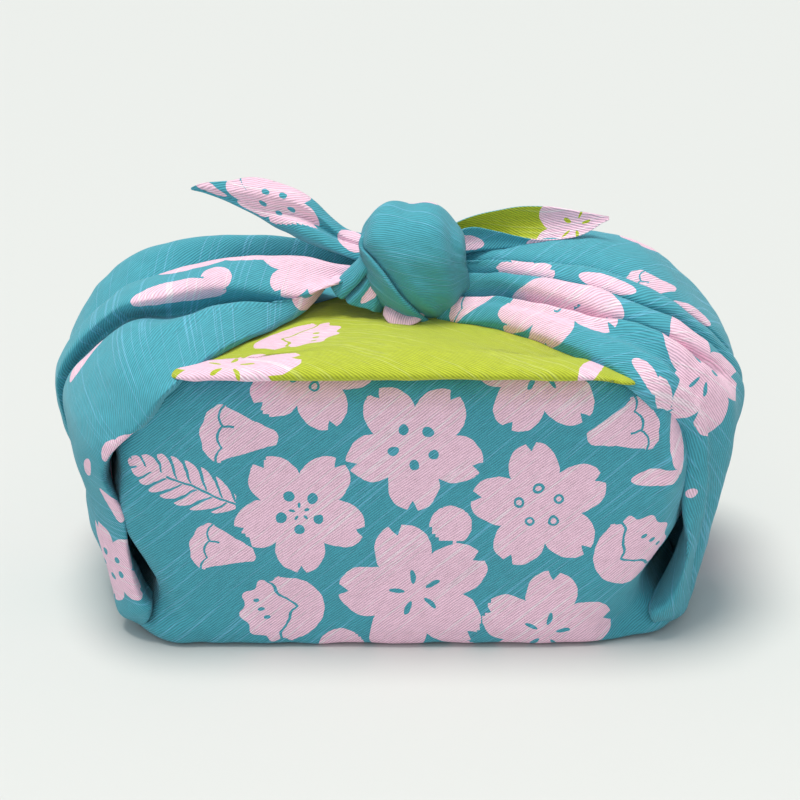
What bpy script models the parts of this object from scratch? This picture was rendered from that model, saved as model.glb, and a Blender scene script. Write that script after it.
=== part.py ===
"""Knotted furoshiki wrap: one square of printed cotton tied round a lunch box.

The front and back corners of the cloth lie over the box, one of them turned back at the
front top edge. The left and right corners are gathered up over the sides and tied in a
square knot on top, with two free ends. The whole wrap is one cloth, so it is one solid,
and that solid also stands for the box that the cloth hides.

Tables are in millimetres, the model is in metres. +Z is up, the front faces -Y, and the
origin is the middle of the base.
"""
import math

import bmesh
import bpy
from mathutils import Vector

MM = 0.001

# driving dimensions of the wrapped box, in millimetres
CLOTH_NAME = "wrapped_cloth"
BOX_TOP = 94.0
FLAP_BACK = 48.0
FLAP_TOP = 97.2
FLAP_EDGE_RADIUS = 1.6
KNOT_CENTRE = (5.0, -3.0, 113.5)
KNOT_RADII = (17.0, 16.0, 20.0)
TAIL_THICKNESS = 2.6

# mesh fineness
BODY_CORNER_STEPS = 6
FLAP_STEPS = 24
FLAP_EDGE_STEPS = 5
STEPS_PER_FOLD = 3
DRAPE_STEPS_PER_STATION = 4
TAIL_STEPS = 10
KNOT_SEGMENTS = 28
KNOT_RINGS = 18

# the cloth round the box, bottom to top
# columns: height, half width, half depth, radius of the upright corners
BODY_SECTIONS = (
    (0.0, 84.0, 52.5, 13.0),
    (1.5, 87.5, 54.3, 13.5),
    (5.0, 90.0, 55.2, 14.0),
    (9.0, 88.5, 55.4, 12.0),
    (14.0, 83.0, 55.5, 8.0),
    (26.0, 82.0, 55.6, 6.0),
    (38.0, 85.0, 55.6, 6.0),
    (52.0, 88.0, 55.4, 6.5),
    (70.0, 88.0, 55.0, 7.0),
    (84.0, 86.0, 54.6, 8.0),
    (91.0, 82.0, 53.0, 10.0),
    (BOX_TOP, 77.0, 50.5, 14.0),
)

# the corner laid over the top and turned back on itself, from left to right
# columns: distance along X, Y of its rolled front edge, height of that edge
FLAP_SECTIONS = (
    (-73.0, -50.0, 93.2),
    (-69.0, -55.5, 94.2),
    (-60.0, -58.2, 95.2),
    (-30.0, -58.8, 95.8),
    (0.0, -58.8, 96.0),
    (30.0, -58.8, 95.8),
    (58.0, -58.4, 95.2),
    (68.0, -57.0, 93.6),
    (73.0, -51.0, 92.4),
)

# the way that a gathered side takes from the knot, over the top and down to the base
# columns: distance out from the middle, height, direction that the cloth faces (degrees
# up from level), depth of the solid below the cloth
STATIONS = (
    ("knot", 12.0, 102.0, 90.0, 15.0),
    ("rope", 32.0, 103.0, 90.0, 15.0),
    ("crown", 58.0, 103.0, 80.0, 17.0),
    ("slope", 73.5, 100.3, 66.0, 20.0),
    ("shoulder", 86.0, 95.5, 50.0, 24.0),
    ("brow", 103.5, 78.0, 12.0, 26.0),
    ("nick", 104.0, 62.0, 0.0, 23.0),
    ("waist", 101.0, 45.0, -5.0, 21.0),
    ("foot", 93.0, 14.0, -15.0, 16.0),
    ("hem", 86.0, 2.4, -62.0, 8.0),
)

# the folds of each gathered side, front to back: a fold line is a row of pairs, its place
# along Y and its rise above the cloth's way, at each of the ten stations
LEFT_FOLDS = {
    "front edge": (
        (-9, -4), (-9, -2.5), (-43, -6), (-57, -9), (-58.5, -14),
        (-58, -18.5), (-55, -11), (-52, -14), (-50, -8.5), (-46, 0),
    ),
    "front panel": (
        (-8, -2), (-10, -1.5), (-27, 1), (-40, 0.5), (-47, -0.5),
        (-48, -4), (-46, -1), (-44, -2), (-43, 0), (-40, 0),
    ),
    "crease": (
        (-6, -1), (-9, -0.5), (-12, 1), (-23, 3), (-28, 4.5),
        (-28, 5), (-27, 5), (-25, 4), (-24, 5), (-24, 1),
    ),
    "lip": (
        (-6, 3), (-11, 2.5), (-15, 4.5), (-26, 6.5), (-31, 8),
        (-31, 7.5), (-28, 7), (-20, 5.5), (-18, 6), (-16, 1),
    ),
    "front ridge": (
        (-1, 10), (2, 10.5), (0, 10), (-10, 10.5), (-12, 10.5),
        (-10, 10), (-9, 10), (-8, 7.5), (-8, 7), (-8, 1),
    ),
    "valley": (
        (3, 6), (8, 4), (8, 5), (5, 6), (3, 7),
        (3, 8), (3, 9), (4, 7), (4, 6.5), (4, 1),
    ),
    "back ridge": (
        (6, 11), (14, 12), (19, 11.5), (22, 11), (24, 11),
        (26, 9), (26, 8.5), (26, 6), (26, 5.5), (26, 0.5),
    ),
    "back panel": (
        (9, 5), (20, 5), (30, 3), (37, 2.5), (43, 1),
        (45, -1), (45, -1), (44, -2), (43, -1), (40, 0),
    ),
    "back edge": (
        (8, -2), (22, -5), (40, -6), (50, -10), (57, -15),
        (57, -19), (55, -13), (52, -14), (50, -8.5), (46, 0),
    ),
}
RIGHT_FOLDS = {
    "front edge": (
        (-12, -4), (-22, -5), (-45, -6), (-55, -8.5), (-57, -11.5),
        (-56.5, -16.5), (-55, -15), (-50, -12), (-48, -5), (-45, -1),
    ),
    "front roll": (
        (-11, -1), (-18, -1), (-37, -1.5), (-45, -2), (-49, -2.5),
        (-50, -5), (-48, -4), (-44, -2), (-41, 1.5), (-40, 0),
    ),
    "low ridge": (
        (-9, 1), (-12, 1), (-30, 1.5), (-35, 1.5), (-38, 2),
        (-38, 1.5), (-38, 1.5), (-36, 2.5), (-34, 4), (-34, 1),
    ),
    "crease": (
        (-8, 0), (-10, -1), (-26.5, 0), (-30, 0), (-32, 2),
        (-28, 4), (-28, 4), (-27, 4), (-26, 6), (-26, 1),
    ),
    "lip": (
        (-7, 3), (-11, 4), (-25, 5), (-30, 4), (-31, 4.5),
        (-25, 5.5), (-24, 5), (-22, 5), (-21, 6.5), (-20, 1),
    ),
    "front ridge": (
        (-5, 7), (-9, 8), (-20, 9), (-26, 7.5), (-27, 6.5),
        (-21, 7), (-20, 6), (-18, 5.5), (-16, 7), (-15, 1),
    ),
    "groove": (
        (-4, 8), (-7.5, 8.5), (-13.5, 6.5), (-20.5, 6), (-22, 5),
        (-17, 6.5), (-16, 6), (-14, 5.5), (-12, 7), (-11, 1),
    ),
    "middle ridge": (
        (-1, 11), (-5, 11.5), (-11, 11.5), (-17, 10.5), (-17, 9),
        (-12, 8.5), (-11, 7.5), (-9, 6), (-8, 7.5), (-8, 1),
    ),
    "valley": (
        (6, 8), (5, 7), (1, 6), (-3, 5.5), (-5, 5),
        (-3, 6.5), (-3, 6.5), (-2, 5.5), (-2, 7), (-2, 1),
    ),
    "back hump": (
        (10, 10), (13, 11.5), (14, 14), (13, 14), (12, 10.5),
        (12, 8), (12, 7), (12, 5.5), (12, 6.5), (12, 1),
    ),
    "back panel": (
        (12, 5), (20, 6), (30, 9), (34, 8), (36, 6),
        (36, 4), (36, 2), (36, 1.5), (34, 2), (32, 0),
    ),
    "back edge": (
        (10, -3), (23, -4), (43, -6), (50, -9), (57, -14),
        (57, -19), (55, -13), (52, -14), (50, -8.5), (46, -1),
    ),
}

# the two free ends, from the knot out to the tip
# columns: distance out from the middle, Y of the middle, height of the lower edge, height
# of the upper edge, how far the middle bulges forward
LEFT_TAIL = (
    (-6.0, 4.0, 108.0, 120.0, 3.0),
    (-18.0, 8.0, 114.5, 124.0, 4.0),
    (-31.0, 11.0, 116.5, 130.5, 5.0),
    (-45.0, 12.0, 124.0, 136.0, 4.0),
    (-56.0, 12.0, 130.0, 136.5, 2.5),
    (-68.0, 11.0, 133.8, 135.2, 0.5),
)
RIGHT_TAIL = (
    (12.0, 4.0, 108.0, 120.0, -3.0),
    (24.0, 9.0, 113.0, 123.0, -5.0),
    (36.0, 11.0, 113.5, 125.6, -6.0),
    (48.0, 12.0, 114.5, 126.2, -6.0),
    (58.0, 12.0, 117.5, 125.4, -4.0),
    (69.0, 11.0, 122.8, 124.2, -0.5),
)


def blend(rows, places, place):
    """The value at one place of a smooth curve through rows of numbers."""
    last = len(places) - 1
    low = max(i for i in range(last) if places[i] <= place or i == 0)
    span = places[low + 1] - places[low]
    t = (place - places[low]) / span

    def slope(i):
        before, after = max(i - 1, 0), min(i + 1, last)
        run = places[after] - places[before]
        return [(b - a) / run for a, b in zip(rows[before], rows[after])]

    start, end = rows[low], rows[low + 1]
    leave, arrive = slope(low), slope(low + 1)
    h00 = 2 * t**3 - 3 * t**2 + 1
    h10 = t**3 - 2 * t**2 + t
    h01 = 3 * t**2 - 2 * t**3
    h11 = t**3 - t**2
    return [
        h00 * a + h10 * span * m + h01 * b + h11 * span * n
        for a, m, b, n in zip(start, leave, end, arrive)
    ]


def run_lengths(points):
    """Distance along a chain of points, from its first point."""
    lengths = [0.0]
    for a, b in zip(points, points[1:]):
        lengths.append(lengths[-1] + max(math.dist(a, b), 0.4))
    return lengths


def loft(name, rings):
    """A closed solid through rings of points, each ring with the same number of points."""
    mesh = bmesh.new()
    loops = [[mesh.verts.new(Vector(point) * MM) for point in ring] for ring in rings]
    for ring, following in zip(loops, loops[1:]):
        for i in range(len(ring)):
            j = (i + 1) % len(ring)
            mesh.faces.new((ring[i], ring[j], following[j], following[i]))
    mesh.faces.new(list(reversed(loops[0])))
    mesh.faces.new(loops[-1])
    bmesh.ops.recalc_face_normals(mesh, faces=mesh.faces)
    bmesh.ops.triangulate(mesh, faces=mesh.faces)
    return add_object(name, mesh)


def add_object(name, mesh):
    data = bpy.data.meshes.new(name)
    mesh.to_mesh(data)
    mesh.free()
    data.shade_smooth()
    data.set_sharp_from_angle(angle=math.radians(40))
    return bpy.data.objects.new(name, data)


def rounded_rectangle(half_width, half_depth, radius, height):
    """A level ring with round corners, counter-clockwise seen from above."""
    ring = []
    corners = ((1, -1, -90), (1, 1, 0), (-1, 1, 90), (-1, -1, 180))
    for side_x, side_y, start in corners:
        centre_x = side_x * (half_width - radius)
        centre_y = side_y * (half_depth - radius)
        for step in range(BODY_CORNER_STEPS + 1):
            angle = math.radians(start + 90 * step / BODY_CORNER_STEPS)
            ring.append((centre_x + radius * math.cos(angle), centre_y + radius * math.sin(angle), height))
    return ring


def body():
    """The cloth round the box, flat underneath and rounded at every edge."""
    rings = [rounded_rectangle(width, depth, radius, height) for height, width, depth, radius in BODY_SECTIONS]
    return loft("body", rings)


def gathered_side(name, folds, side):
    """One gathered side, as a solid that reaches into the body; side is -1 left, +1 right."""
    path = [station[1:] for station in STATIONS]
    places = run_lengths([station[:2] for station in path])
    rings = []
    for gap in range(len(places) - 1):
        steps = DRAPE_STEPS_PER_STATION + (1 if gap == len(places) - 2 else 0)
        for step in range(steps):
            place = places[gap] + (places[gap + 1] - places[gap]) * step / DRAPE_STEPS_PER_STATION
            out, height, facing, depth = blend(path, places, place)
            lines = [blend(fold, places, place) for fold in folds.values()]
            across = run_lengths(lines)
            section = []
            for fold in range(len(across) - 1):
                for part in range(STEPS_PER_FOLD):
                    at = across[fold] + (across[fold + 1] - across[fold]) * part / STEPS_PER_FOLD
                    section.append(blend(lines, across, at))
            section.append(lines[-1])
            front, back = lines[0][0], lines[-1][0]
            section += [(back * 0.75, -depth), (0.5 * (front + back), -depth), (front * 0.75, -depth)]
            up, level = math.sin(math.radians(facing)), math.cos(math.radians(facing))
            rings.append([(side * (out + rise * level), y, height + rise * up) for y, rise in section])
    return loft(name, rings)


def turned_back_flap():
    """The corner that lies over the top, turned back on itself in a soft roll at the front."""
    places = [row[0] for row in FLAP_SECTIONS]
    rings = []
    for step in range(FLAP_STEPS + 1):
        x = places[0] + (places[-1] - places[0]) * step / FLAP_STEPS
        _, front, edge = blend(FLAP_SECTIONS, places, x)
        low = BOX_TOP - 3.0
        ring = [(x, FLAP_BACK, low), (x, front + 9.0, low)]
        for part in range(FLAP_EDGE_STEPS + 1):
            angle = math.radians(-90 - 180 * part / FLAP_EDGE_STEPS)
            ring.append((
                x,
                front + FLAP_EDGE_RADIUS * (1 + math.cos(angle)),
                edge + FLAP_EDGE_RADIUS * math.sin(angle),
            ))
        ring += [
            (x, front + 12.0, 0.5 * (edge + FLAP_TOP) + 0.9),
            (x, 0.5 * FLAP_BACK, FLAP_TOP),
            (x, FLAP_BACK, BOX_TOP - 0.3),
        ]
        rings.append(ring)
    return loft("turned_back_flap", rings)


def knot_band():
    """The band that wraps the knot: an upright barrel, dented between its two top bumps."""
    mesh = bmesh.new()
    bmesh.ops.create_uvsphere(mesh, u_segments=KNOT_SEGMENTS, v_segments=KNOT_RINGS, radius=1.0)
    for vert in mesh.verts:
        x, y, z = vert.co
        square = 1.0 + 0.10 * (1.0 - z * z) * abs(z)
        dent = 0.16 * max(z, 0.0) ** 2 * math.exp(-((x - 0.10) / 0.20) ** 2)
        lean = 0.16 * -z
        vert.co = (
            (x * square + lean) * KNOT_RADII[0],
            y * square * KNOT_RADII[1],
            (z - dent) * KNOT_RADII[2],
        )
        vert.co = (vert.co + Vector(KNOT_CENTRE)) * MM
    return add_object("knot_band", mesh)


def knot_foot(name, centre, radii):
    """A gathered strand that comes out from under the knot band."""
    mesh = bmesh.new()
    bmesh.ops.create_uvsphere(mesh, u_segments=14, v_segments=8, radius=1.0)
    bmesh.ops.scale(mesh, vec=radii, verts=mesh.verts)
    bmesh.ops.translate(mesh, vec=centre, verts=mesh.verts)
    bmesh.ops.scale(mesh, vec=(MM, MM, MM), verts=mesh.verts)
    return add_object(name, mesh)


def free_end(name, table):
    """A leaf-shaped free end, a curved sheet that tapers to its tip."""
    places = run_lengths([row[:1] for row in table])
    rings = []
    for step in range(TAIL_STEPS + 1):
        place = places[-1] * step / TAIL_STEPS
        x, y, low, high, bulge = blend(table, places, place)
        half = min(TAIL_THICKNESS, 0.8 * (high - low)) / 2
        front, back = [], []
        for part in range(6):
            t = part / 5
            forward = bulge * 4 * t * (1 - t)
            z = low + (high - low) * t
            round_off = 0.45 if part in (0, 5) else 1.0
            front.append((x, y - forward - half * round_off, z))
            back.append((x, y - forward + half * round_off, z))
        rings.append(front + back[::-1])
    return loft(name, rings)


def cotton():
    material = bpy.data.materials.new("printed_cotton")
    material.use_nodes = True
    shader = material.node_tree.nodes["Principled BSDF"]
    shader.inputs["Base Color"].default_value = (0.05, 0.28, 0.33, 1.0)
    shader.inputs["Roughness"].default_value = 0.85
    shader.inputs["Metallic"].default_value = 0.0
    return material


def main():
    for thing in list(bpy.data.objects):
        bpy.data.objects.remove(thing)
    model = bpy.data.collections.new("furoshiki_wrap")
    joined = bpy.data.collections.new("joined_parts")
    for collection in (model, joined):
        bpy.context.scene.collection.children.link(collection)

    cloth = body()
    cloth.name = CLOTH_NAME
    cloth.data.materials.append(cotton())
    model.objects.link(cloth)

    additions = (
        turned_back_flap(),
        gathered_side("left_side", LEFT_FOLDS, -1),
        gathered_side("right_side", RIGHT_FOLDS, 1),
        knot_band(),
        knot_foot("left_strand", (-13.0, -9.0, 103.0), (10.0, 8.0, 9.0)),
        knot_foot("front_strand", (0.0, -12.0, 98.5), (8.0, 8.0, 6.0)),
        free_end("left_end", LEFT_TAIL),
        free_end("right_end", RIGHT_TAIL),
    )
    for addition in additions:
        joined.objects.link(addition)
        addition.hide_render = True
        addition.display_type = "WIRE"
        union = cloth.modifiers.new("join " + addition.name, "BOOLEAN")
        union.operation = "UNION"
        union.solver = "EXACT"
        union.object = addition


main()
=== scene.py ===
"""Looks of the knotted furoshiki wrap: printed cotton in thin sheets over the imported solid.

The wrap is one square of ribbed cotton, teal with pink blossoms outside and lime inside. Each
zone of it is a sheet of its own: the cloth round the box, the corner turned back on top, the
two gathered sides, the knot with its two strands, and the two free ends. A sheet is a grid of
points in millimetres, with its own flat coordinates for the print and for the threads.
"""
import math

import bpy
import numpy as np
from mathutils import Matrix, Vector


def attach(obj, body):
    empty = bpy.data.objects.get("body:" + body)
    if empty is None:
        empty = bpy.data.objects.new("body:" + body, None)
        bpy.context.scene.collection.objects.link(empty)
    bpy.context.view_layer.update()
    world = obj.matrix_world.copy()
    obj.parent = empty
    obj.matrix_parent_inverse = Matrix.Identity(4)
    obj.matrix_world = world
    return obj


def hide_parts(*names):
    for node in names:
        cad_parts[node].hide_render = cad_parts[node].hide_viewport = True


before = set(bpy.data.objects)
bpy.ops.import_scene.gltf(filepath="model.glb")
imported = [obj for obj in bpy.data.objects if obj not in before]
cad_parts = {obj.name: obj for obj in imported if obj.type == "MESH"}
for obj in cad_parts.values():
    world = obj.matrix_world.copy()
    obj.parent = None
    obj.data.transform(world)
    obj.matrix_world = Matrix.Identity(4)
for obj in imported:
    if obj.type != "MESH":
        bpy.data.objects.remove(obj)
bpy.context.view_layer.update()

bl_info = {
    "name": "Knotted Furoshiki Wrap",
    "version": (1, 0, 0),
    "blender": (4, 5, 0),
    "location": "3D View > Sidebar > Furoshiki",
    "description": "Builds the printed cotton sheets, the knot and the studio round the wrap",
    "category": "Add Mesh",
}

MM = 0.001
NODE = "wrapped_cloth"
FACE_CLOTH = "printed_cotton_face"
BACK_CLOTH = "printed_cotton_reverse"

# the sheets of the wrap
# columns: flat size in millimetres, how it is held, what it rests on, directions of its
# ribs and of its slubs in degrees, seed of its wrinkles
SHEETS = {
    "wrap_body": ((300.0, 330.0), "stretched", (NODE,), (37.0, 42.0), 3),
    "turned_flap": ((146.0, 170.0), "folded", ("wrap_body",), (-30.0, -36.0), 5),
    "left_side": ((175.0, 140.0), "gathered", ("wrap_body",), (146.0, 104.0), 11),
    "right_side": ((175.0, 140.0), "gathered", ("wrap_body",), (25.0, 40.0), 12),
    "knot_band": ((60.0, 80.0), "folded", ("left_side", "right_side"), (104.0, 108.0), 7),
    "left_strand": ((22.0, 22.0), "folded", ("turned_flap",), (0.0, 8.0), 22),
    "front_strand": ((10.0, 12.0), "folded", ("turned_flap",), (0.0, 0.0), 23),
    "left_end": ((66.0, 20.0), "folded", ("knot_band",), (30.0, 10.0), 24),
    "right_end": ((58.0, 19.0), "folded", ("knot_band",), (30.0, 10.0), 25),
}

# the cloth round the box, bottom to top
# columns: height, half width to the left, half width to the right, half depth, radius of
# the upright corners
BODY_SECTIONS = (
    (0.7, 79.5, 81.5, 53.8, 12.0),
    (1.8, 82.5, 84.5, 55.6, 13.0),
    (5.0, 84.0, 86.5, 56.4, 14.0),
    (9.0, 79.2, 83.0, 56.6, 11.0),
    (14.0, 76.8, 78.0, 56.6, 7.0),
    (20.0, 76.8, 76.5, 56.6, 5.0),
    (27.0, 79.5, 80.0, 56.8, 5.0),
    (33.0, 82.5, 84.0, 56.9, 5.0),
    (40.0, 85.8, 87.0, 56.8, 5.0),
    (50.0, 87.6, 88.2, 56.6, 5.5),
    (60.0, 86.6, 88.4, 56.3, 6.0),
    (70.0, 87.2, 88.2, 56.0, 7.0),
    (84.0, 85.0, 84.0, 55.0, 8.0),
    (91.0, 81.0, 79.0, 51.0, 10.0),
    (94.0, 76.0, 75.0, 47.0, 14.0),
)
# its closed base and top, as smaller rings inside the first and the last section, and how
# far the top's rings lie beneath that section
BASE_SHARES = (0.06, 0.3, 0.55, 0.75, 0.9, 0.96)
TOP_SHARES = (0.93, 0.8, 0.6, 0.3, 0.05)
TOP_DROP = 0.5
# how far the sides swell out between the corners, as a share of the half width, and how
# little of that swelling the front and back take
SIDE_BULGE = 0.09
SIDE_BULGE_POWER = 8
# lengths that set how many faces run along half the front, half a side and a corner
RING_RUNS = (88.0, 24.0, 14.0)
# a body face's height as a share of the grid's pitch
BODY_FACE_HEIGHT = 1.1
# where along Y the front's print coordinates start to pass into the back's, and over what
# depth
BACK_START, BACK_DEPTH = -20.0, 40.0
# soft troughs and ridges in the front, as straight strokes
# columns: X and height of one end, X and height of the other, half width, depth
FRONT_RELIEF = (
    (93.0, 42.0, 74.0, 8.0, 9.0, 7.0),
    (-84.0, 44.0, -74.0, 12.0, 4.5, 2.0),
    (80.5, 88.0, 85.5, 58.0, 3.4, -2.4),
    (73.5, 88.0, 79.5, 62.0, 4.0, 1.0),
    (-60.0, 84.0, -20.0, 62.0, 9.0, 0.8),
    (30.0, 84.0, 70.0, 70.0, 8.0, 0.7),
    (-70.0, 30.0, -30.0, 10.0, 9.0, 0.7),
)
# how far in front of the middle they are at full depth, and how sharply they fade behind
RELIEF_REACH, RELIEF_POWER = 50.0, 4

# the corner laid over the top and turned back on itself, from left to right
# columns: distance along X, Y of its rolled front edge, height of that edge
FLAP_SECTIONS = (
    (-73.0, -50.0, 93.2),
    (-69.0, -55.5, 94.2),
    (-60.0, -58.2, 95.2),
    (-30.0, -58.8, 95.8),
    (0.0, -58.8, 96.0),
    (30.0, -58.8, 95.8),
    (58.0, -58.4, 95.2),
    (70.0, -57.0, 92.8),
    (76.5, -51.0, 91.0),
)
# the turned-back layer from its rolled edge towards the knot
# columns: distance back from the edge, rise above the edge in the middle of the wrap, and
# rise where the gathered sides lie over it
FLAP_RETURN = (
    (0.9, 1.2, 1.2),
    (3.5, 2.4, 1.7),
    (8.0, 3.4, 1.4),
    (13.0, 3.7, 0.4),
    (22.0, 3.2, 0.0),
    (38.0, 1.2, 0.0),
    (58.0, 0.4, 0.2),
    (76.0, 1.4, 0.2),
)
# the lower layer of the corner: distance back from the edge and height
FLAP_UNDER = ((100.0, 94.4), (50.0, 94.4), (16.0, 94.4))
FLAP_UNDER_FRONT = (4.0, 94.6)
# the roll at the front: its depth, how far it stands out and in, and the least drop from
# its edge to the lower layer
ROLL_DEPTH = 1.1
ROLL_OUT = 0.3
ROLL_DROP = 0.2
# where the layer's rise passes from the middle's to the sides': distance from the middle,
# and over what width
FLAP_SIDES = (12.0, 46.0)
# where the layers come together at the corner's ends: distance from the middle, over what
# width, and by what share
FLAP_THINNING = (55.0, 16.0, 0.75)
# the turned-back layer's outline: its half width, how much it narrows and how roundly, and
# the distance back from the edge where it starts
FLAP_OUTLINE = (76.5, 0.86, 1.4)
FLAP_OUTLINE_START = 20.0

# the way that a gathered side takes from the knot, over the top and down to the base
# columns: name, distance out from the middle, height, direction that the cloth faces
# (degrees up from level)
STATIONS = (
    ("knot", 12.0, 102.0, 90.0),
    ("neck", 21.0, 102.5, 90.0),
    ("rope", 32.0, 103.0, 90.0),
    ("crown", 58.0, 103.0, 80.0),
    ("slope", 73.5, 100.3, 66.0),
    ("shoulder", 86.0, 95.5, 50.0),
    ("brow", 103.5, 78.0, 12.0),
    ("nick", 104.0, 62.0, 0.0),
    ("waist", 101.0, 45.0, -5.0),
    ("shin", 98.5, 29.0, -9.0),
    ("foot", 93.0, 14.0, -12.0),
    ("heel", 91.0, 6.5, -30.0),
    ("hem", 85.0, 1.5, -60.0),
)

# the folds of each gathered side, front to back: a fold line is a row of pairs, its place
# along Y and its rise above the cloth's way, at each of the stations
LEFT_FOLDS = {
    "inner edge": (
        (-2.5, 2), (1.5, 3), (-12, -5), (-42, -7), (-56, -10.5), (-55, -17),
        (-52, -20.5), (-46, -12), (-38, -10), (-35, -8.5), (-38, -9.5), (-42, -12), (-42, -9),
    ),
    "front edge": (
        (-3, 4), (1, 5), (-13, -3), (-43, -5), (-58, -8.5), (-60, -13.5),
        (-60, -17), (-57, -10.5), (-53, -13), (-52.5, -12), (-53, -9.5), (-54, -11.5), (-52, -8),
    ),
    "front panel": (
        (-3, 4.5), (1, 5.5), (-13, -0.5), (-27, 1.5), (-40, 0.5), (-47, -0.5),
        (-48, -4), (-46, -1.5), (-44, -3), (-43.5, -2), (-44, -0.5), (-45, 0.5), (-44, 0.5),
    ),
    "crest": (
        (-3.3, 4.8), (0.5, 5.8), (-12, 1.5), (-23, 2.5), (-32, 3), (-30, 5.2),
        (-28, 4.2), (-28, 2.7), (-31, 0), (-31, 0), (-31, 1), (-31, 1), (-30, 0.5),
    ),
    "crease": (
        (-3.5, 5), (0, 6), (-8, -3), (-11, -2.5), (-18, 0), (-16.5, 3),
        (-14.5, 3.5), (-13.5, 3.5), (-17, 2), (-24, 3), (-24, 4), (-24, 2.5), (-24, 1),
    ),
    "lip": (
        (-4, 6), (-10, 5.5), (-12.5, 2), (-14, 5.4), (-23.5, 8.6), (-20.5, 9),
        (-17.5, 7.6), (-15.5, 6), (-15, 3.5), (-19, 5), (-18, 5), (-17, 3), (-16, 1),
    ),
    "flank": (
        (-3.5, 7.5), (-5, 5.5), (-6.5, 6.2), (-8.5, 9.2), (-15.5, 10.7), (-15, 11.2),
        (-12.5, 9), (-11.5, 7.8), (-11.5, 5.2), (-13.5, 6), (-13, 6), (-12.5, 3.5), (-12, 1),
    ),
    "front ridge": (
        (-1, 8.5), (-2, 9), (1, 10.5), (-1, 10), (-8, 10.7), (-9, 11.2),
        (-7, 8.8), (-7, 7.8), (-8, 5), (-8, 6), (-8, 6), (-8, 3.5), (-8, 1),
    ),
    "ridge back": (
        (2, 7), (1, 7.5), (4.5, 8.5), (4, 8.2), (-1, 8.8), (-5, 9.5),
        (-4, 7.5), (-3, 7.5), (-2, 5), (-2, 6), (-2, 5.8), (-2, 3.4), (-2, 1),
    ),
    "valley": (
        (4, 4.5), (5, 3), (8, 1), (9.5, -0.5), (7, 1.5), (5.5, 4.5),
        (4, 6), (4, 7.5), (4, 5.3), (4, 6), (4, 5.6), (4, 3.3), (4, 1),
    ),
    "back ridge": (
        (6, 11), (9, 11.5), (14, 12), (19, 11.5), (22, 11), (24, 11),
        (26, 8), (26, 7.5), (26, 4.4), (26, 5), (26, 4.5), (26, 2.5), (26, 0.5),
    ),
    "back panel": (
        (9, 5), (14.5, 5), (20, 5), (30, 3), (37, 2.5), (43, 1),
        (45, -1), (45, -1), (44, -3), (43.5, -2.5), (43, -2), (41.5, -1), (40, 0),
    ),
    "back edge": (
        (8, -2), (15, -3.5), (22, -5), (40, -6), (50, -10), (57, -15),
        (57, -19), (55, -13), (52, -14), (51, -11), (50, -8.5), (48, -4.2), (46, 0),
    ),
}
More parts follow.
